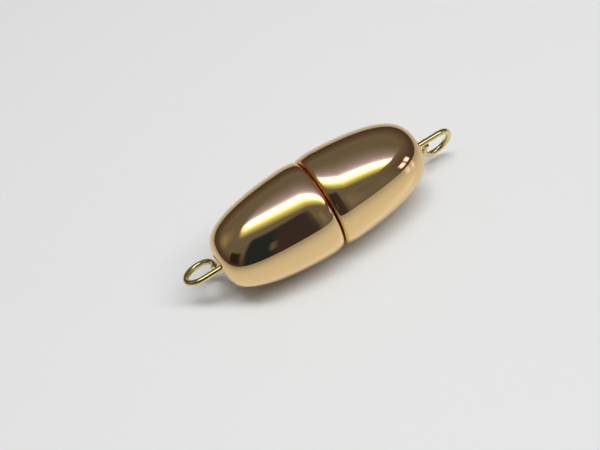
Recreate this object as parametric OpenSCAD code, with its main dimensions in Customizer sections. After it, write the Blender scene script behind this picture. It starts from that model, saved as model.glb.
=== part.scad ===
// Screw clasp for a necklace: two polished bullet-shaped halves that meet at a fine seam.
// The clasp lies along X on its belly, with the seam at X = 0 and the resting surface at Z = 0.
// The socket half is on -X and the stud half on +X. Each half carries a swivelling wire eye.

/* [Barrel] */
// Diameter of the closed barrel
barrel_d = 8; // [7.6:0.1:9]
// Length of one half, from the seam to the end of its dome
half_l = 9.12; // [8.6:0.02:10]
// Wall of the drawn shell
wall_t = 0.35; // [0.3:0.01:0.4]
// Wall of the shell at the end of the dome, where the eye goes through
end_t = 0.42; // [0.35:0.01:0.5]
// Exponent of the flank curve along the axis
length_power = 1.95; // [1.8:0.01:2.2]
// Exponent of the flank curve across the axis
radius_power = 3.7; // [3.2:0.1:4.2]
// Length over which a shell rounds in towards its mouth
mouth_l = 1.5; // [1.2:0.05:1.8]
// How far a shell has rounded in at its mouth
mouth_depth = 0.28; // [0.2:0.01:0.3]
// Gap between the two mouths when the clasp is screwed shut
seam_gap = 0.1; // [0.04:0.01:0.12]

/* [Wire eyes] */
// Diameter of the wire
wire_d = 0.5; // [0.45:0.01:0.55]
// Radius of the loop, measured to the middle of the wire
loop_r = 1.25; // [1.2:0.05:1.3]
// Gap between the cut end of the wire and the shank
cut_gap = 0.06; // [0.03:0.01:0.1]
// Clearance between the loop and the end of the dome when the eye is pushed in
eye_gap = 0.06; // [0.05:0.01:0.1]
// How far a loose eye slides out of its dome: the socket eye is pushed in, the stud eye pulled out
eye_play = 0.85; // [0.6:0.05:0.9]
// How far a loose eye sinks in its hole under its own weight
eye_drop = 0.4; // [0.3:0.02:0.44]
// Diameter of the formed head that holds the eye inside the shell
head_d = 1.7; // [1.65:0.05:1.8]
// Thickness of the formed head
head_t = 0.3; // [0.25:0.01:0.4]
// Clearance round the shank and behind the head
swivel_gap = 0.05; // [0.03:0.01:0.08]
// Angle at which the socket eye lies, turned about its shank
socket_eye_turn = -23; // [-90:1:90]
// Angle at which the stud eye lies, turned about its shank
stud_eye_turn = -78; // [-90:1:90]

/* [Turned inserts] */
// Depth of the inserts' faces inside the mouths
face_recess = 0.35; // [0.3:0.01:0.4]
// Clearance between an insert and its shell
insert_gap = 0.04; // [0.03:0.01:0.06]
// Length of the wider collar at the mouth
collar_l = 0.7; // [0.5:0.05:0.8]
// How far the socket's insert reaches into its shell
bush_l = 3.8; // [3.8:0.05:4.2]
// How far the stud's insert reaches into its shell
plug_l = 3; // [2.6:0.05:3.6]
// Chamfer on the turned inner edges
edge_chamfer = 0.15; // [0.1:0.01:0.2]

/* [Thread] */
// Pitch of the right-hand thread
pitch = 0.5; // [0.48:0.01:0.5]
// Turns of thread on the stud
thread_turns = 6; // [5:1:6]
// Diameter over the crests of the stud's thread
stud_d = 2.8; // [2.6:0.1:3]
// Diameter at the bottom of the stud's thread
stud_core_d = 2.3; // [2.2:0.05:2.4]
// Radial clearance between the stud and the socket
thread_gap = 0.06; // [0.05:0.01:0.07]
// Width of the flat on a thread's crest
crest_w = 0.06; // [0.05:0.01:0.08]
// Angle between a flank of the thread and the plane across the axis
flank_angle = 30; // [25:1:30]

/* [Hidden] */
$fn = 96;
// Radii and lengths of the barrel
barrel_r = barrel_d / 2;
cavity_r = barrel_r - wall_t;
cavity_l = half_l - end_t;
mouth_x = seam_gap / 2;
// Steps along the rounded mouth, and from there to the end of the dome
mouth_steps = 8;
dome_steps = 20;
// Sizes of the eye: its hole leaves room for the shank to sink, and its head stops at the dome's wall
wire_r = wire_d / 2;
eye_hole_r = wire_r + eye_drop + swivel_gap;
head_reach = head_d / 2 + eye_drop + swivel_gap;
dome_part = 1 - pow(head_reach / cavity_r, radius_power);
head_x = cavity_l * pow(dome_part, 1 / length_power) - swivel_gap - head_t;
loop_x = half_l + eye_gap + eye_play + wire_r + loop_r;
// Sizes of the thread: each ridge starts a little inside the metal that carries it
stud_r = stud_d / 2;
stud_core_r = stud_core_d / 2;
socket_bore_r = stud_r + thread_gap;
socket_crest_r = stud_core_r + thread_gap;
ridge_sink = 0.06;
thread_steps = 24;
runout_steps = 8;
stud_thread_x = -face_recess - thread_turns * pitch;
stud_tip_x = stud_thread_x - edge_chamfer;
socket_thread_x = stud_thread_x - pitch / 2;

// How far the rounded mouth draws the curve in at a given distance along the axis
function mouth_inset(x) =
    let (part = max(0, 1 - (x - mouth_x) / mouth_l))
    mouth_depth * (1 - sqrt(1 - part * part));

// Half-width of the barrel curve at a given distance along the axis
function curve_radius(x, top_r, end_l) =
    top_r * pow(1 - pow(x / end_l, length_power), 1 / radius_power) - mouth_inset(x);

// Points of the closed region under the barrel curve, as [distance from the axis, distance along it].
// The mouth is a quarter of an ellipse, and the flank and dome are one curve from there.
function barrel_curve(top_r, end_l) =
    let (first_angle = asin(pow((mouth_x + mouth_l) / end_l, length_power / 2)))
    concat(
        [[0, mouth_x]],
        [for (step = [0:mouth_steps])
            let (x = mouth_x + mouth_l * (1 - cos(90 * step / mouth_steps)))
            [curve_radius(x, top_r, end_l), x]],
        [for (step = [1:dome_steps - 1])
            let (
                angle = first_angle + (90 - first_angle) * step / dome_steps,
                x = end_l * pow(sin(angle), 2 / length_power)
            )
            [curve_radius(x, top_r, end_l), x]],
        [[0, end_l]]
    );

// Turns a shape that stands on Z so that it lies along +X, on the barrel's axis, its seam on top
module along_axis() {
    translate([0, 0, barrel_r])
        rotate([0, 90, 0])
            rotate(180)
                children();
}

// One drawn shell on the +X side, with the hole for the eye in its dome
module drawn_shell() {
    along_axis()
        rotate_extrude()
            difference() {
                polygon(barrel_curve(barrel_r, half_l));
                polygon(barrel_curve(cavity_r, cavity_l));
                square([eye_hole_r, 2 * half_l]);
            }
}

// Wire bent to an arc in the XY plane, from one angle to another round its centre
module wire_arc(bend_r, from_angle, to_angle) {
    rotate([0, 0, from_angle])
        rotate_extrude(angle = to_angle - from_angle)
            translate([bend_r, 0])
                circle(wire_r, $fn = 32);
}

// Wire eye on the +X side, sunk in its hole and turned about its shank: head, shank and open loop.
// The shank runs into the loop on one side, and the loop's cut end comes back beside it.
module wire_eye(turn, pushed_in) {
    cut_angle = 180 + asin((loop_r - wire_d - cut_gap) / loop_r);
    translate([-pushed_in, 0, barrel_r - eye_drop])
        rotate([turn, 0, 0]) {
            translate([head_x, 0, 0])
                rotate([0, 90, 0])
                    cylinder(h = head_t, d = head_d);
            translate([head_x, 0, 0])
                rotate([0, 90, 0])
                    cylinder(h = loop_x - head_x, r = wire_r);
            translate([loop_x, loop_r, 0])
                wire_arc(loop_r, -90, cut_angle);
        }
}

// Helical ridge of a right-hand thread along X, from root_r to crest_r, starting at start_x
module thread_ridge(root_r, crest_r, start_x) {
    last = thread_turns * thread_steps;
    slope = tan(flank_angle);
    points = [
        for (step = [0:last])
            let (
                angle = 360 * step / thread_steps,
                x = start_x + pitch * step / thread_steps,
                runout = min(1, (step + 1) / runout_steps, (last - step + 1) / runout_steps),
                top_r = root_r + (crest_r - root_r) * runout,
                top_w = crest_w / 2,
                root_w = top_w + abs(top_r - root_r) * slope
            )
            for (corner = [[-root_w, root_r], [-top_w, top_r], [top_w, top_r], [root_w, root_r]])
                [x + corner[0], corner[1] * cos(angle), corner[1] * sin(angle)]
    ];
    sides = [
        for (step = [0:last - 1], side = [0:3])
            let (
                near = 4 * step + side,
                near_next = 4 * step + (side + 1) % 4,
                far = near + 4,
                far_next = near_next + 4
            )
            for (face = [[near, near_next, far_next], [near, far_next, far]])
                face
    ];
    ends = [
        [3, 2, 1], [3, 1, 0],
        [4 * last, 4 * last + 1, 4 * last + 2], [4 * last, 4 * last + 2, 4 * last + 3]
    ];
    faces = concat(sides, ends);
    outward = crest_r > root_r;
    translate([0, 0, barrel_r])
        polyhedron(points, outward ? faces : [for (face = faces) [face[2], face[1], face[0]]]);
}

// Solid insert that nests in a shell's mouth, with a tapered collar that the rounded mouth holds
module insert_blank(insert_l) {
    face_r = curve_radius(face_recess, cavity_r, cavity_l) - insert_gap;
    collar_r = curve_radius(face_recess + collar_l, cavity_r, cavity_l) - insert_gap;
    body_r = curve_radius(insert_l, cavity_r, cavity_l) - insert_gap;
    along_axis()
        rotate_extrude()
            polygon([
                [0, face_recess],
                [face_r, face_recess],
                [collar_r, face_recess + collar_l],
                [body_r, face_recess + collar_l],
                [body_r, insert_l - edge_chamfer],
                [body_r - edge_chamfer, insert_l],
                [0, insert_l]
            ]);
}

// Shell of the socket half
module socket_shell() {
    color("gold")
        mirror([1, 0, 0])
            drawn_shell();
}

// Turned insert of the socket half, bored right through and threaded inside
module socket_bush() {
    color("goldenrod")
        union() {
            difference() {
                mirror([1, 0, 0])
                    insert_blank(bush_l);
                translate([-2 * bush_l, 0, 0])
                    along_axis()
                        cylinder(h = 2 * bush_l, r = socket_bore_r);
            }
            thread_ridge(socket_bore_r + ridge_sink, socket_crest_r, socket_thread_x);
        }
}

// Wire eye of the socket half, pushed in
module socket_eye() {
    color("darkkhaki")
        mirror([1, 0, 0])
            wire_eye(socket_eye_turn, eye_play);
}

// Shell of the stud half
module stud_shell() {
    color("gold")
        drawn_shell();
}

// Turned insert of the stud half with its threaded stud, which reaches into the socket
module stud_screw() {
    color("goldenrod")
        union() {
            insert_blank(plug_l);
            translate([stud_tip_x, 0, 0])
                along_axis()
                    cylinder(h = face_recess - stud_tip_x + edge_chamfer, r = stud_core_r);
            thread_ridge(stud_core_r - ridge_sink, stud_r, stud_thread_x);
        }
}

// Wire eye of the stud half, pulled out
module stud_eye() {
    color("darkkhaki")
        wire_eye(stud_eye_turn, 0);
}

socket_shell();
socket_bush();
socket_eye();
stud_shell();
stud_screw();
stud_eye();
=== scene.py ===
# Looks of a screw clasp for a necklace: two polished gold shells that meet at a fine seam, the turned
# inserts that screw together inside them, and a wire eye that swivels in the end of each half.

import math

import bpy
from mathutils import Matrix, Vector


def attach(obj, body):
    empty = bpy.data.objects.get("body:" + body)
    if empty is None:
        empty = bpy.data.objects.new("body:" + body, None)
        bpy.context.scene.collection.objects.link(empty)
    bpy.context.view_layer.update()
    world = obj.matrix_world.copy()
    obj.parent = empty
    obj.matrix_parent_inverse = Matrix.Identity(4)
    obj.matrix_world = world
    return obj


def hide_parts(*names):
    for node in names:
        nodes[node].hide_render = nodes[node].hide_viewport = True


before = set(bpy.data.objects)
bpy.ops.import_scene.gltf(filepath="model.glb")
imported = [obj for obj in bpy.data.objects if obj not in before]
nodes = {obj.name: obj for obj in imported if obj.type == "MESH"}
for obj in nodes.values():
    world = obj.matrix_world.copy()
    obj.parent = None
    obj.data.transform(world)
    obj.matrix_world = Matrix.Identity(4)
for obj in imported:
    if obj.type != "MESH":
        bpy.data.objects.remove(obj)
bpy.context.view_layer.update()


# Drawn shells
# Each half of the barrel is a thin brass cup, drawn over a punch, rolled in at its mouth and pierced at
# its dome, then buffed to a mirror and plated with a warm yellow gold.

barrel_radius = 0.004
half_length = 0.00912
cavity_radius = 0.00365
cavity_length = 0.0087
length_power = 1.95
radius_power = 3.7
mouth_start = 0.00005
mouth_length = 0.0015
mouth_depth = 0.00028
lip_length = 0.00022
lip_depth = 0.00011
eye_hole_radius = 0.0007
shell_edge_angle = 0.6
closing_distance = 1e-7
polished_colour = (0.86, 0.61, 0.30, 1.0)


def calc(tree, operation, first, second=0.0):
    """One sum in a node tree. Each value is a number or the output of another node."""
    node = tree.nodes.new("ShaderNodeMath")
    node.operation = operation
    for socket, value in zip(node.inputs, (first, second)):
        if isinstance(value, bpy.types.NodeSocket):
            tree.links.new(value, socket)
        else:
            socket.default_value = value
    return node.outputs[0]


def part_of(tree, value, start, length):
    """How far a value has gone along a stretch, from 0 to 1."""
    gone = calc(tree, "DIVIDE", calc(tree, "SUBTRACT", value, start), length)
    return calc(tree, "MINIMUM", calc(tree, "MAXIMUM", gone, 0.0), 1.0)


def between(tree, near, far, share):
    """A value that goes from near to far as the share goes from 0 to 1."""
    return calc(tree, "ADD", near, calc(tree, "MULTIPLY", calc(tree, "SUBTRACT", far, near), share))


def new_tree(name, sizes):
    """A Geometry Nodes tree with named inputs. Gives the tree, its inputs by name and its end node."""
    tree = bpy.data.node_groups.new(name, "GeometryNodeTree")
    tree.interface.new_socket(name="Geometry", in_out="INPUT", socket_type="NodeSocketGeometry")
    tree.interface.new_socket(name="Geometry", in_out="OUTPUT", socket_type="NodeSocketGeometry")
    for size, kind in sizes:
        tree.interface.new_socket(name=size, in_out="INPUT", socket_type=kind)
    start = tree.nodes.new("NodeGroupInput")
    end = tree.nodes.new("NodeGroupOutput")
    return tree, start.outputs, end.inputs[0]


def finish_tree(tree, geometry, material, sharp_angle, end):
    """Smooth shading apart from the sharp edges, then real instances and the material."""
    smooth = tree.nodes.new("GeometryNodeSetShadeSmooth")
    smooth.domain = "FACE"
    tree.links.new(geometry, smooth.inputs["Geometry"])
    angle = tree.nodes.new("GeometryNodeInputMeshEdgeAngle")
    crease = tree.nodes.new("GeometryNodeSetShadeSmooth")
    crease.domain = "EDGE"
    crease.inputs["Shade Smooth"].default_value = False
    tree.links.new(smooth.outputs[0], crease.inputs["Geometry"])
    is_sharp = calc(tree, "GREATER_THAN", angle.outputs["Unsigned Angle"], sharp_angle)
    tree.links.new(is_sharp, crease.inputs["Selection"])
    realize = tree.nodes.new("GeometryNodeRealizeInstances")
    tree.links.new(crease.outputs[0], realize.inputs["Geometry"])
    finish = tree.nodes.new("GeometryNodeSetMaterial")
    tree.links.new(realize.outputs[0], finish.inputs["Geometry"])
    tree.links.new(material, finish.inputs["Material"])
    tree.links.new(finish.outputs[0], end)


def grow(name, tree, base, values):
    """Runs a tree on a base mesh and keeps the result as a plain mesh in an object of that name."""
    maker = bpy.data.objects.new(name + "_maker", base)
    bpy.context.scene.collection.objects.link(maker)
    modifier = maker.modifiers.new("make", "NODES")
    modifier.node_group = tree
    for item in tree.interface.items_tree:
        if item.name in values:
            modifier[item.identifier] = values[item.name]
    depsgraph = bpy.context.evaluated_depsgraph_get()
    mesh = bpy.data.meshes.new_from_object(maker.evaluated_get(depsgraph), depsgraph=depsgraph)
    mesh.name = name
    bpy.data.objects.remove(maker)
    piece = bpy.data.objects.new(name, mesh)
    bpy.context.scene.collection.objects.link(piece)
    return piece


def make_shell_tree():
    """A grid wrapped round the section of a shell: out along its skin, in at the eye hole, back along
    its cavity and out at its mouth. The other way of the grid goes round the barrel's axis."""
    number, count = "NodeSocketFloat", "NodeSocketInt"
    tree, sizes, end = new_tree("drawn_shell", (
        ("Barrel radius", number), ("Half length", number),
        ("Cavity radius", number), ("Cavity length", number),
        ("Length power", number), ("Radius power", number),
        ("Mouth start", number), ("Mouth length", number), ("Mouth depth", number),
        ("Lip length", number), ("Lip depth", number),
        ("Eye hole radius", number), ("Side", number),
        ("Steps along", count), ("Steps through", count), ("Steps around", count),
        ("Mouth share", number), ("Finish", "NodeSocketMaterial"),
    ))
    half_walk = calc(tree, "ADD", sizes["Steps along"], sizes["Steps through"])
    grid = tree.nodes.new("GeometryNodeMeshGrid")
    tree.links.new(calc(tree, "ADD", calc(tree, "MULTIPLY", half_walk, 2.0), 1.0), grid.inputs["Vertices X"])
    tree.links.new(calc(tree, "ADD", sizes["Steps around"], 1.0), grid.inputs["Vertices Y"])
    position = tree.nodes.new("GeometryNodeInputPosition")
    parts = tree.nodes.new("ShaderNodeSeparateXYZ")
    tree.links.new(position.outputs[0], parts.inputs[0])
    walk = calc(tree, "ADD", parts.outputs["X"], 0.5)
    turn = calc(tree, "MULTIPLY", calc(tree, "ADD", parts.outputs["Y"], 0.5), math.tau)

    # How far the walk has come along the half, and how deep it is in the wall
    skin_share = calc(tree, "DIVIDE", calc(tree, "MULTIPLY", sizes["Steps along"], 0.5), half_walk)
    wall_share = calc(tree, "SUBTRACT", 0.5, skin_share)
    out = part_of(tree, walk, 0.0, skin_share)
    back = part_of(tree, walk, 0.5, skin_share)
    along = calc(tree, "SUBTRACT", out, back)
    inwards = part_of(tree, walk, skin_share, wall_share)
    outwards = part_of(tree, walk, calc(tree, "ADD", skin_share, 0.5), wall_share)
    depth = calc(tree, "SUBTRACT", inwards, outwards)
    top = between(tree, sizes["Barrel radius"], sizes["Cavity radius"], depth)
    length = between(tree, sizes["Half length"], sizes["Cavity length"], depth)

    # Distance along the axis: first the rounded mouth, then the flank and the dome as one curve
    mouth_end = calc(tree, "ADD", sizes["Mouth start"], sizes["Mouth length"])
    half_power = calc(tree, "MULTIPLY", sizes["Length power"], 0.5)
    first = calc(tree, "ARCSINE", calc(tree, "POWER", calc(tree, "DIVIDE", mouth_end, length), half_power))
    hole_part = calc(tree, "DIVIDE", sizes["Eye hole radius"], top)
    hole_power = calc(tree, "MULTIPLY", sizes["Radius power"], 0.5)
    last = calc(tree, "ARCCOSINE", calc(tree, "POWER", hole_part, hole_power))
    mouth_angle = calc(tree, "MULTIPLY", part_of(tree, along, 0.0, sizes["Mouth share"]), math.pi / 2)
    mouth_part = calc(tree, "COSINE", mouth_angle)
    mouth_x = calc(tree, "SUBTRACT", mouth_end, calc(tree, "MULTIPLY", sizes["Mouth length"], mouth_part))
    rest_of_walk = calc(tree, "SUBTRACT", 1.0, sizes["Mouth share"])
    dome_share = part_of(tree, along, sizes["Mouth share"], rest_of_walk)
    dome_sine = calc(tree, "SINE", between(tree, first, last, dome_share))
    dome_part = calc(tree, "POWER", dome_sine, calc(tree, "DIVIDE", 1.0, half_power))
    dome_x = calc(tree, "MULTIPLY", length, dome_part)
    x = calc(tree, "SUBTRACT", calc(tree, "ADD", mouth_x, dome_x), mouth_end)

    # Distance from the axis
    come = calc(tree, "POWER", calc(tree, "DIVIDE", x, length), sizes["Length power"])
    fall = calc(tree, "MAXIMUM", calc(tree, "SUBTRACT", 1.0, come), 0.0)
    curve = calc(tree, "POWER", fall, calc(tree, "DIVIDE", 1.0, sizes["Radius power"]))
    radius = calc(tree, "MULTIPLY", top, curve)
    on_skin = calc(tree, "SUBTRACT", 1.0, depth)
    mouth = ("Mouth length", "Mouth depth", 1.0)
    lip = ("Lip length", "Lip depth", on_skin)
    for reach, fall_in, share in (mouth, lip):
        rest = calc(tree, "SUBTRACT", 1.0, part_of(tree, x, sizes["Mouth start"], sizes[reach]))
        root = calc(tree, "SQRT", calc(tree, "SUBTRACT", 1.0, calc(tree, "MULTIPLY", rest, rest)))
        inset = calc(tree, "MULTIPLY", sizes[fall_in], calc(tree, "SUBTRACT", 1.0, root))
        radius = calc(tree, "SUBTRACT", radius, calc(tree, "MULTIPLY", inset, share))

    place = tree.nodes.new("ShaderNodeCombineXYZ")
    tree.links.new(calc(tree, "MULTIPLY", x, sizes["Side"]), place.inputs["X"])
    tree.links.new(calc(tree, "MULTIPLY", radius, calc(tree, "COSINE", turn)), place.inputs["Y"])
    height = calc(tree, "MULTIPLY", radius, calc(tree, "SINE", turn))
    tree.links.new(calc(tree, "ADD", height, sizes["Barrel radius"]), place.inputs["Z"])
    wrap = tree.nodes.new("GeometryNodeSetPosition")
    tree.links.new(grid.outputs["Mesh"], wrap.inputs["Geometry"])
    tree.links.new(place.outputs[0], wrap.inputs["Position"])
    close = tree.nodes.new("GeometryNodeMergeByDistance")
    close.inputs["Distance"].default_value = closing_distance
    tree.links.new(wrap.outputs[0], close.inputs["Geometry"])
    flip = tree.nodes.new("GeometryNodeFlipFaces")
    tree.links.new(close.outputs[0], flip.inputs["Mesh"])
    tree.links.new(calc(tree, "GREATER_THAN", sizes["Side"], 0.0), flip.inputs["Selection"])
    finish_tree(tree, flip.outputs[0], sizes["Finish"], shell_edge_angle, end)
    return tree


def make_handling_marks():
    """Hairline scratches and soft smudges, as every worn and wiped metal has. Gives a height for a bump
    and a mask of the dull places."""
    marks = bpy.data.node_groups.new("handling_marks", "ShaderNodeTree")
    for name, kind in (("Place", "NodeSocketVector"), ("Scratches", "NodeSocketFloat"),
                       ("Smudge size", "NodeSocketFloat")):
        marks.interface.new_socket(name=name, in_out="INPUT", socket_type=kind)
    marks.interface.new_socket(name="Height", in_out="OUTPUT", socket_type="NodeSocketFloat")
    marks.interface.new_socket(name="Dullness", in_out="OUTPUT", socket_type="NodeSocketFloat")
    start = marks.nodes.new("NodeGroupInput")
    end = marks.nodes.new("NodeGroupOutput")
    scratch_tilt = 0.3
    scratch_start, scratch_fade = 0.66, 0.06
    smudge_start, smudge_fade, smudge_share = 0.45, 0.3, 0.6
    lines = 0.0
    for turned, stretch in ((0.35, (900.0, 26000.0, 26000.0)), (-0.8, (1400.0, 20000.0, 20000.0))):
        mapping = marks.nodes.new("ShaderNodeMapping")
        mapping.inputs["Rotation"].default_value = (scratch_tilt, turned, turned)
        mapping.inputs["Scale"].default_value = stretch
        marks.links.new(start.outputs["Place"], mapping.inputs["Vector"])
        noise = marks.nodes.new("ShaderNodeTexNoise")
        noise.inputs["Scale"].default_value = 1.0
        noise.inputs["Detail"].default_value = 1.0
        marks.links.new(mapping.outputs[0], noise.inputs["Vector"])
        lines = calc(marks, "MAXIMUM", lines, part_of(marks, noise.outputs[0], scratch_start, scratch_fade))
    scratch = calc(marks, "MULTIPLY", lines, start.outputs["Scratches"])
    marks.links.new(calc(marks, "MULTIPLY", scratch, -1.0), end.inputs["Height"])
    smudge = marks.nodes.new("ShaderNodeTexNoise")
    smudge.inputs["Detail"].default_value = 3.0
    marks.links.new(start.outputs["Place"], smudge.inputs["Vector"])
    marks.links.new(calc(marks, "DIVIDE", 1.0, start.outputs["Smudge size"]), smudge.inputs["Scale"])
    dull = part_of(marks, smudge.outputs[0], smudge_start, smudge_fade)
    both = calc(marks, "MAXIMUM", calc(marks, "MULTIPLY", dull, smudge_share), scratch)
    marks.links.new(both, end.inputs["Dullness"])
    return marks


handling_marks = make_handling_marks()


def new_metal(name, colour):
    """A metal with a Principled shader. Gives the material, its tree, the shader and the place."""
    material = bpy.data.materials.new(name)
    material.use_nodes = True
    tree = material.node_tree
    shader = tree.nodes["Principled BSDF"]
    shader.inputs["Metallic"].default_value = 1.0
    shader.inputs["Base Color"].default_value = colour
    place = tree.nodes.new("ShaderNodeTexCoord").outputs["Object"]
    return material, tree, shader, place


def mark_surface(tree, shader, place, scratches, smudge_size, depth, clean, dull):
    """Puts the handling marks on a metal: its roughness goes from clean to dull, and its bump follows.
    Gives the marks, the bump and the roughness."""
    marks = tree.nodes.new("ShaderNodeGroup")
    marks.node_tree = handling_marks
    marks.inputs["Scratches"].default_value = scratches
    marks.inputs["Smudge size"].default_value = smudge_size
    tree.links.new(place, marks.inputs["Place"])
    bump = tree.nodes.new("ShaderNodeBump")
    bump.inputs["Strength"].default_value = 1.0
    bump.inputs["Distance"].default_value = depth
    tree.links.new(marks.outputs["Height"], bump.inputs["Height"])
    tree.links.new(bump.outputs[0], shader.inputs["Normal"])
    rough = between(tree, clean, dull, marks.outputs["Dullness"])
    tree.links.new(rough, shader.inputs["Roughness"])
    return marks, bump, rough


def blend(tree, mask, near, far):
    """A colour that goes from near to far with a mask. Each is a colour or the output of a node."""
    mix = tree.nodes.new("ShaderNodeMix")
    mix.data_type = "RGBA"
    for name, value in (("A", near), ("B", far)):
        if isinstance(value, bpy.types.NodeSocket):
            tree.links.new(value, mix.inputs[name])
        else:
            mix.inputs[name].default_value = value
    tree.links.new(mask, mix.inputs["Factor"])
    return mix.outputs["Result"]


polished_gold, tree, shader, place = new_metal("polished_gold", polished_colour)
_, _, rough = mark_surface(tree, shader, place, scratches=0.35, smudge_size=0.0016, depth=2e-8,
                           clean=0.035, dull=0.085)

# The lips of the two mouths are left unpolished and coloured brown in the seam. Above a set height they turn
# orange: a painted glow where the lamp overhead catches them.
lip_width = 0.00014
lip_fade = 0.00012
painted_glow_height = 0.0055
painted_glow_fade = 0.0015
seam_brown = (0.72, 0.46, 0.15, 1.0)
lip_painted_glow_colour = (0.97, 0.45, 0.12, 1.0)
lip_roughness = 0.28
parts = tree.nodes.new("ShaderNodeSeparateXYZ")
tree.links.new(place, parts.inputs[0])
from_seam = calc(tree, "ABSOLUTE", calc(tree, "SUBTRACT", parts.outputs["X"], mouth_start))
lip = calc(tree, "SUBTRACT", 1.0, part_of(tree, from_seam, lip_width, lip_fade))
# Painted glow: the lips turn orange above this height, as if lit by the lamp overhead
painted_glow_mask = part_of(tree, parts.outputs["Z"], painted_glow_height, painted_glow_fade)
lip_brown_and_painted_glow = blend(tree, painted_glow_mask, seam_brown, lip_painted_glow_colour)
tree.links.new(blend(tree, lip, polished_colour, lip_brown_and_painted_glow), shader.inputs["Base Color"])
unpolished = calc(tree, "MAXIMUM", rough, calc(tree, "MULTIPLY", lip, lip_roughness))
tree.links.new(unpolished, shader.inputs["Roughness"])

shell_tree = make_shell_tree()
for name, body, side in (("socket_shell", "socket_half", -1.0), ("stud_shell", "stud_half", 1.0)):
    shell = grow(name + "_polished", shell_tree, bpy.data.meshes.new(name + "_base"), {
        "Barrel radius": barrel_radius, "Half length": half_length,
        "Cavity radius": cavity_radius, "Cavity length": cavity_length,
        "Length power": length_power, "Radius power": radius_power,
        "Mouth start": mouth_start, "Mouth length": mouth_length, "Mouth depth": mouth_depth,
        "Lip length": lip_length, "Lip depth": lip_depth,
        "Eye hole radius": eye_hole_radius, "Side": side,
        "Steps along": 110, "Steps through": 3, "Steps around": 192,
        "Mouth share": 0.27, "Finish": polished_gold,
    })
    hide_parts(name)
    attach(shell, body)


# Turned inserts
# A bush with an inner thread and a plug with a screw are turned from brass bar and soldered into the
# mouths of the shells. They only show when the halves come apart, with the fine rings of the tool.

turned_colour = (0.87, 0.62, 0.29, 1.0)
ring_colour = (0.92, 0.68, 0.35, 1.0)
ring_spacing = 0.00007
ring_depth = 1.5e-6

turned_gold, tree, shader, place = new_metal("turned_gold", turned_colour)
marks, bump, _ = mark_surface(tree, shader, place, scratches=0.5, smudge_size=0.0012, depth=ring_depth,
                              clean=0.16, dull=0.3)
parts = tree.nodes.new("ShaderNodeSeparateXYZ")
tree.links.new(place, parts.inputs[0])
up = calc(tree, "SUBTRACT", parts.outputs["Z"], barrel_radius)
across_squared = calc(tree, "MULTIPLY", parts.outputs["Y"], parts.outputs["Y"])
from_axis = calc(tree, "SQRT", calc(tree, "ADD", across_squared, calc(tree, "MULTIPLY", up, up)))
tool_walk = calc(tree, "ADD", from_axis, parts.outputs["X"])
ring = calc(tree, "SINE", calc(tree, "MULTIPLY", tool_walk, math.tau / ring_spacing))
heights = calc(tree, "ADD", calc(tree, "MULTIPLY", ring, 0.5), marks.outputs["Height"])
tree.links.new(heights, bump.inputs["Height"])
ring_mask = calc(tree, "ADD", calc(tree, "MULTIPLY", ring, 0.5), 0.5)
tree.links.new(blend(tree, ring_mask, turned_colour, ring_colour), shader.inputs["Base Color"])
for name in ("socket_bush", "stud_screw"):
    for slot in nodes[name].material_slots:
        slot.material = turned_gold


# Wire eyes
# Each eye is bent from one piece of drawn wire: a formed head that turns inside the dome, a shank
# through its hole, and an open loop whose cut end comes back beside the shank. The eyes sit loose, so
# they have sunk in their holes; the socket's is pushed in and the stud's is pulled out.

wire_radius = 0.00025
loop_radius = 0.00125
cut_gap = 0.00006
head_radius = 0.00085
head_start = 0.0082517
head_thickness = 0.0003
loop_middle = 0.01153
eye_play = 0.00085
eye_drop = 0.0004
socket_eye_turn = -23.0
stud_eye_turn = -78.0
head_rounding = 0.00005
cut_end_share = 0.85
wire_edge_angle = 0.9
wire_colour = (0.80, 0.67, 0.32, 1.0)
worn_colour = (0.66, 0.52, 0.22, 1.0)

gold_wire, tree, shader, place = new_metal("gold_wire", wire_colour)
marks, _, _ = mark_surface(tree, shader, place, scratches=0.6, smudge_size=0.0009, depth=5e-8,
                           clean=0.09, dull=0.22)
worn_wire = blend(tree, marks.outputs["Dullness"], wire_colour, worn_colour)
tree.links.new(worn_wire, shader.inputs["Base Color"])


def make_wire_tree():
    """Sweeps a round section along a path whose points carry the wire's thickness."""
    tree, sizes, end = new_tree("bent_wire", (
        ("Sides", "NodeSocketInt"), ("Finish", "NodeSocketMaterial"),
    ))
    curve = tree.nodes.new("GeometryNodeMeshToCurve")
    tree.links.new(sizes["Geometry"], curve.inputs["Mesh"])
    thickness = tree.nodes.new("GeometryNodeInputNamedAttribute")
    thickness.data_type = "FLOAT"
    thickness.inputs["Name"].default_value = "thickness"
    section = tree.nodes.new("GeometryNodeCurvePrimitiveCircle")
    section.inputs["Radius"].default_value = 1.0
    tree.links.new(sizes["Sides"], section.inputs["Resolution"])
    sweep = tree.nodes.new("GeometryNodeCurveToMesh")
    tree.links.new(curve.outputs[0], sweep.inputs["Curve"])
    tree.links.new(section.outputs[0], sweep.inputs["Profile Curve"])
    tree.links.new(thickness.outputs["Attribute"], sweep.inputs["Scale"])
    sweep.inputs["Fill Caps"].default_value = True
    finish_tree(tree, sweep.outputs[0], sizes["Finish"], wire_edge_angle, end)
    return tree


def arc(middle, radius, first, last, steps):
    """Points of an arc in the eye's own plane."""
    turns = [first + (last - first) * step / steps for step in range(steps + 1)]
    return [(middle[0] + radius * math.cos(t), middle[1] + radius * math.sin(t)) for t in turns]


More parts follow.
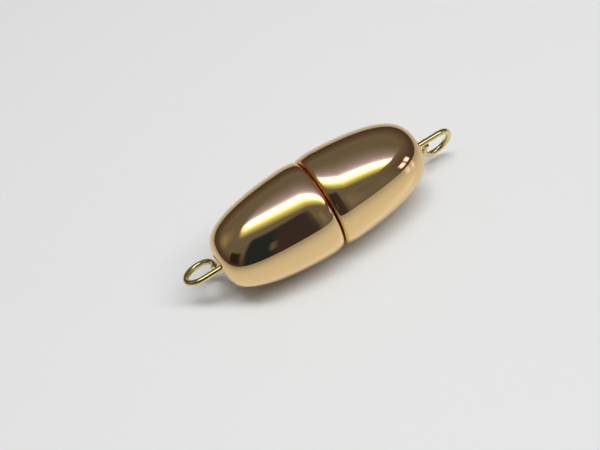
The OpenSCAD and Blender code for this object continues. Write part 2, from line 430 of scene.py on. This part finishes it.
def eye_path():
    """The wire's middle line with its thickness, from the head inside the dome to the cut end."""
    head_end = head_start + head_thickness
    head_rim = head_radius - head_rounding
    path = [((head_start, 0.0), head_rim), ((head_start + head_rounding, 0.0), head_radius)]
    path += [((head_end - head_rounding, 0.0), head_radius), ((head_end, 0.0), head_rim)]
    path += [((head_end + head_rounding / 10, 0.0), wire_radius)]
    cut_angle = math.pi + math.asin((loop_radius - 2 * wire_radius - cut_gap) / loop_radius)
    loop = arc((loop_middle, loop_radius), loop_radius, -math.pi / 2, cut_angle, 96)
    path += [(point, wire_radius) for point in loop[:-1]]
    path += [(loop[-1], wire_radius * cut_end_share)]
    return path


def path_mesh(name, path, side, turn, pushed_in):
    """The path as a mesh of edges on the given side of the clasp, turned about its sunken shank."""
    swivel = Matrix.Rotation(math.radians(turn), 3, "X")
    points = []
    for (x, y), thickness in path:
        point = swivel @ Vector((x - pushed_in, y, 0.0))
        points.append((side * point.x, point.y, point.z + barrel_radius - eye_drop))
    mesh = bpy.data.meshes.new(name)
    mesh.from_pydata(points, [(i, i + 1) for i in range(len(points) - 1)], [])
    thickness = mesh.attributes.new("thickness", "FLOAT", "POINT")
    thickness.data.foreach_set("value", [value for _, value in path])
    return mesh


wire_tree = make_wire_tree()
for name, side, turn, pushed_in in (
    ("socket_eye", -1.0, socket_eye_turn, eye_play), ("stud_eye", 1.0, stud_eye_turn, 0.0),
):
    base = path_mesh(name + "_path", eye_path(), side, turn, pushed_in)
    eye = grow(name + "_bent", wire_tree, base, {"Sides": 32, "Finish": gold_wire})
    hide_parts(name)
    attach(eye, name)


# Table, lights and camera
# A plain pale table with a pale backdrop behind it, one long lamp and a soft fill overhead, a dim room
# that shows in the metal, and a view from above the near end.

table_reach = 4.0
table_colour = (0.80, 0.815, 0.812, 1.0)
gloss_seen, gloss_in_metal = 0.2, 0.5
roughness_seen, roughness_in_metal = 0.5, 0.2

floor_mesh = bpy.data.meshes.new("table")
corners = [(x * table_reach, y * table_reach, 0.0) for x, y in ((-1, -1), (1, -1), (1, 1), (-1, 1))]
floor_mesh.from_pydata(corners, [], [(0, 1, 2, 3)])
table = bpy.data.objects.new("table", floor_mesh)
bpy.context.scene.collection.objects.link(table)
pale = bpy.data.materials.new("pale_table")
pale.use_nodes = True
shader = pale.node_tree.nodes["Principled BSDF"]
shader.inputs["Base Color"].default_value = table_colour
# Seen straight, the table is almost dull. In the polished metal it shows its gloss.
in_metal = pale.node_tree.nodes.new("ShaderNodeLightPath").outputs["Is Glossy Ray"]
gloss = between(pale.node_tree, gloss_seen, gloss_in_metal, in_metal)
pale.node_tree.links.new(gloss, shader.inputs["Specular IOR Level"])
roughness = between(pale.node_tree, roughness_seen, roughness_in_metal, in_metal)
pale.node_tree.links.new(roughness, shader.inputs["Roughness"])
floor_mesh.materials.append(pale)


def add_lamp(name, place, turn, size, power):
    """A rectangular lamp that looks down and lights the table. Mirrors don't show it."""
    data = bpy.data.lights.new(name, "AREA")
    data.shape = "RECTANGLE"
    data.size, data.size_y = size
    data.energy = power
    lamp = bpy.data.objects.new(name, data)
    lamp.location = place
    lamp.rotation_euler = (0.0, 0.0, turn)
    lamp.visible_camera = False
    lamp.visible_glossy = False
    bpy.context.scene.collection.objects.link(lamp)


strip_turn = math.radians(-34.0)
add_lamp("overhead_strip", place=(0.6, -0.46, 1.2), turn=strip_turn, size=(2.0, 0.24), power=19.2)
add_lamp("soft_fill", place=(-0.3, 0.3, 1.6), turn=0.0, size=(1.6, 1.6), power=3.0)

# The strip as the mirrors show it: bright, with soft sides that turn warm in front and blue behind
strip_place = (0.123, -0.092, 0.3)
strip_half = 0.302
strip_strength = 3.2
end_start = -0.015
end_fade = 0.04
card_half = 0.33
glow_front = -0.13
glow_back = 0.20
unlit = (0.0, 0.0, 0.0, 1.0)
glow = bpy.data.materials.new("strip_glow")
glow.use_nodes = True
tree = glow.node_tree
tree.nodes.remove(tree.nodes["Principled BSDF"])
parts = tree.nodes.new("ShaderNodeSeparateXYZ")
tree.links.new(tree.nodes.new("ShaderNodeTexCoord").outputs["Object"], parts.inputs[0])
glow_ramp = tree.nodes.new("ShaderNodeValToRGB")
tree.links.new(part_of(tree, parts.outputs["Y"], glow_front, glow_back - glow_front), glow_ramp.inputs[0])
glow_ramp.color_ramp.elements[0].color = unlit
glow_ramp.color_ramp.elements[1].color = unlit
for from_middle, colour in (
    (-0.110, (0.055, 0.060, 0.006, 1.0)), (-0.090, (0.12, 0.135, 0.02, 1.0)),
    (-0.070, (0.22, 0.26, 0.09, 1.0)), (-0.050, (0.38, 0.43, 0.26, 1.0)),
    (-0.031, (0.77, 0.79, 0.72, 1.0)), (-0.013, (1.0, 1.0, 1.0, 1.0)), (0.001, (1.0, 1.0, 1.0, 1.0)),
    (0.014, (0.62, 0.65, 0.80, 1.0)), (0.030, (0.21, 0.22, 0.43, 1.0)), (0.050, (0.10, 0.10, 0.23, 1.0)),
    (0.075, (0.060, 0.058, 0.12, 1.0)), (0.105, (0.032, 0.030, 0.060, 1.0)),
    (0.140, (0.016, 0.014, 0.026, 1.0)),
):
    share = (from_middle - glow_front) / (glow_back - glow_front)
    glow_ramp.color_ramp.elements.new(share).color = colour
from_end = calc(tree, "SUBTRACT", strip_half, calc(tree, "ABSOLUTE", parts.outputs["X"]))
both_ends = part_of(tree, from_end, end_start, end_fade)
emission = tree.nodes.new("ShaderNodeEmission")
tree.links.new(glow_ramp.outputs[0], emission.inputs["Color"])
tree.links.new(calc(tree, "MULTIPLY", both_ends, strip_strength), emission.inputs["Strength"])
clear = tree.nodes.new("ShaderNodeBsdfTransparent")
added = tree.nodes.new("ShaderNodeAddShader")
tree.links.new(clear.outputs[0], added.inputs[0])
tree.links.new(emission.outputs[0], added.inputs[1])
tree.links.new(added.outputs[0], tree.nodes["Material Output"].inputs["Surface"])
glow_mesh = bpy.data.meshes.new("strip_glow")
corners = [(-card_half, glow_front, 0.0), (card_half, glow_front, 0.0),
           (card_half, glow_back, 0.0), (-card_half, glow_back, 0.0)]
glow_mesh.from_pydata(corners, [], [(3, 2, 1, 0)])
glow_mesh.materials.append(glow)
strip_glow = bpy.data.objects.new("strip_glow", glow_mesh)
strip_glow.location = strip_place
strip_glow.rotation_euler = (0.0, 0.0, strip_turn)
bpy.context.scene.collection.objects.link(strip_glow)
strip_glow.visible_camera = False
strip_glow.visible_diffuse = False
strip_glow.visible_shadow = False

# The room by direction: azimuth 0 looks towards the front, -Y, and grows towards +X, in degrees
world = bpy.data.worlds.new("room")
bpy.context.scene.world = world
world.use_nodes = True
tree = world.node_tree
direction = tree.nodes.new("ShaderNodeTexCoord").outputs["Generated"]
parts = tree.nodes.new("ShaderNodeSeparateXYZ")
tree.links.new(direction, parts.inputs[0])
to_front = calc(tree, "MULTIPLY", parts.outputs["Y"], -1.0)
azimuth = calc(tree, "MULTIPLY", calc(tree, "ARCTAN2", parts.outputs["X"], to_front), 180 / math.pi)
elevation = calc(tree, "MULTIPLY", calc(tree, "ARCSINE", parts.outputs["Z"]), 180 / math.pi)
ramp = tree.nodes.new("ShaderNodeValToRGB")
tree.links.new(calc(tree, "DIVIDE", elevation, 90.0), ramp.inputs[0])
ramp.color_ramp.elements[0].position = 0.0
ramp.color_ramp.elements[0].color = (0.075, 0.052, 0.050, 1.0)
ramp.color_ramp.elements[1].position = 0.62
ramp.color_ramp.elements[1].color = (0.16, 0.155, 0.155, 1.0)
for position, colour in ((0.12, (0.085, 0.064, 0.058, 1.0)), (0.25, (0.125, 0.105, 0.095, 1.0)),
                         (0.36, (0.165, 0.150, 0.142, 1.0)), (0.46, (0.148, 0.145, 0.142, 1.0))):
    ramp.color_ramp.elements.new(position).color = colour


def add_patch(room, azimuths, elevations, soft, colour):
    """Lays a soft-edged patch of light or shade over the room, between two azimuths and elevations."""
    sides = []
    for value, (low, high) in ((azimuth, azimuths), (elevation, elevations)):
        sides.append(part_of(tree, value, low - soft, 2 * soft))
        sides.append(calc(tree, "SUBTRACT", 1.0, part_of(tree, value, high - soft, 2 * soft)))
    mask = calc(tree, "MULTIPLY", calc(tree, "MULTIPLY", sides[0], sides[1]),
                calc(tree, "MULTIPLY", sides[2], sides[3]))
    return blend(tree, mask, room, colour)


room = ramp.outputs[0]
for azimuths, elevations, soft, colour in (
    ((-132, -105), (28, 46), 9, (0.31, 0.285, 0.20, 1.0)),
    ((-76, -52.5), (6, 33), 3, (0.022, 0.020, 0.020, 1.0)),
    ((8, 42), (-20, 26), 7, (0.155, 0.150, 0.145, 1.0)),
    ((-45, 4.5), (-20, 54), 3, (0.020, 0.030, 0.048, 1.0)),
    ((-16, 4.5), (-20, 52), 3, (0.046, 0.036, 0.048, 1.0)),
    ((-18, -14), (14, 29), 1.5, (0.12, 0.12, 0.12, 1.0)),
    ((13, 22), (8, 32), 3, (0.205, 0.195, 0.19, 1.0)),
    ((46.5, 52), (6, 13.5), 1.5, (2.4, 1.85, 2.3, 1.0)),
    ((54.8, 60.3), (7, 15), 1.5, (2.4, 1.85, 2.3, 1.0)),
):
    room = add_patch(room, azimuths, elevations, soft, colour)

# A low view sees past the far edge of the table, where a plain pale backdrop stands
backdrop_colour = (0.70, 0.71, 0.70, 1.0)
seen = tree.nodes.new("ShaderNodeLightPath").outputs["Is Camera Ray"]
backdrop = blend(tree, seen, room, backdrop_colour)
tree.links.new(backdrop, tree.nodes["Background"].inputs["Color"])

# The camera looks down on the clasp from above its near end, and is rolled a little
eye_point = Vector((-0.008078, -0.027359, 0.037573))
aim_point = Vector((-0.002113, -0.000319, 0.003379))
roll = math.radians(22.07)
forward = (aim_point - eye_point).normalized()
level_right = forward.cross(Vector((0.0, 0.0, 1.0))).normalized()
level_down = forward.cross(level_right)
right = math.cos(roll) * level_right + math.sin(roll) * level_down
up = right.cross(forward)
camera_data = bpy.data.cameras.new("camera")
camera_data.lens = 33.53
camera_data.sensor_width = 36.0
camera_data.clip_start = 0.001
camera = bpy.data.objects.new("camera", camera_data)
bpy.context.scene.collection.objects.link(camera)
turned = Matrix((right, up, -forward)).transposed().to_4x4()
camera.matrix_world = Matrix.Translation(eye_point) @ turned
bpy.context.scene.camera = camera
bpy.context.scene.view_settings.view_transform = "Standard"
